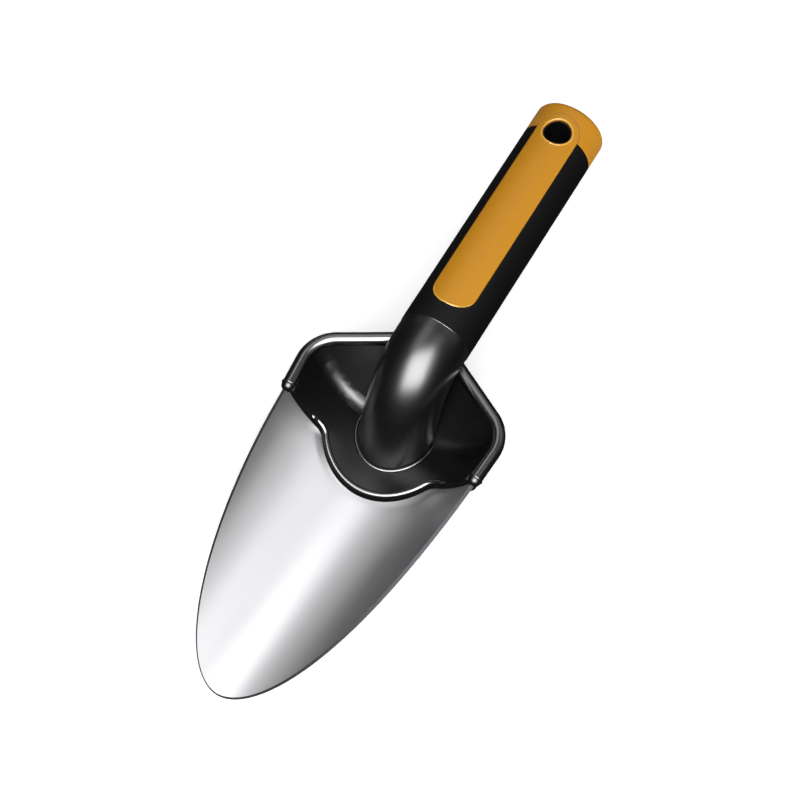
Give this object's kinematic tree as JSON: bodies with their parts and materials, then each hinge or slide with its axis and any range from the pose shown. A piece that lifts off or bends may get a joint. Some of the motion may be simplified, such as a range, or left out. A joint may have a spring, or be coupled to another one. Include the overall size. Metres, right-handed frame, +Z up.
{
  "type": "hand trowel",
  "caption": "Hand trowel with a deep pointed stainless blade, closed moulded shoulder, elbow neck, soft grip with coloured inlay, and a hanging hole in the handle's end.",
  "frame": {"origin": "centre of the footprint on the surface that the trowel lies on, belly down", "axes": "+X across the blade, +Y from the blade's tip to the handle's end, +Z up out of the blade's hollow"},
  "size_m": [0.0936, 0.284, 0.0771],
  "materials": {
    "blade_steel": "satin-polished stainless sheet",
    "shoulder_plastic": "gloss black glass-filled nylon",
    "neck_plastic": "gloss black glass-filled nylon",
    "grip_rubber": "fine matte soft-touch",
    "orange_plastic": "satin orange",
    "screw_steel": "plain"
  },
  "bodies": {
    "root": {"blade": "blade_steel", "shoulder": "shoulder_plastic", "neck_core": "neck_plastic", "grip_sleeve": "grip_rubber", "handle_strip": "orange_plastic", "end_cap": "orange_plastic", "foot_screws": "screw_steel"}
  },
  "joints": []
}
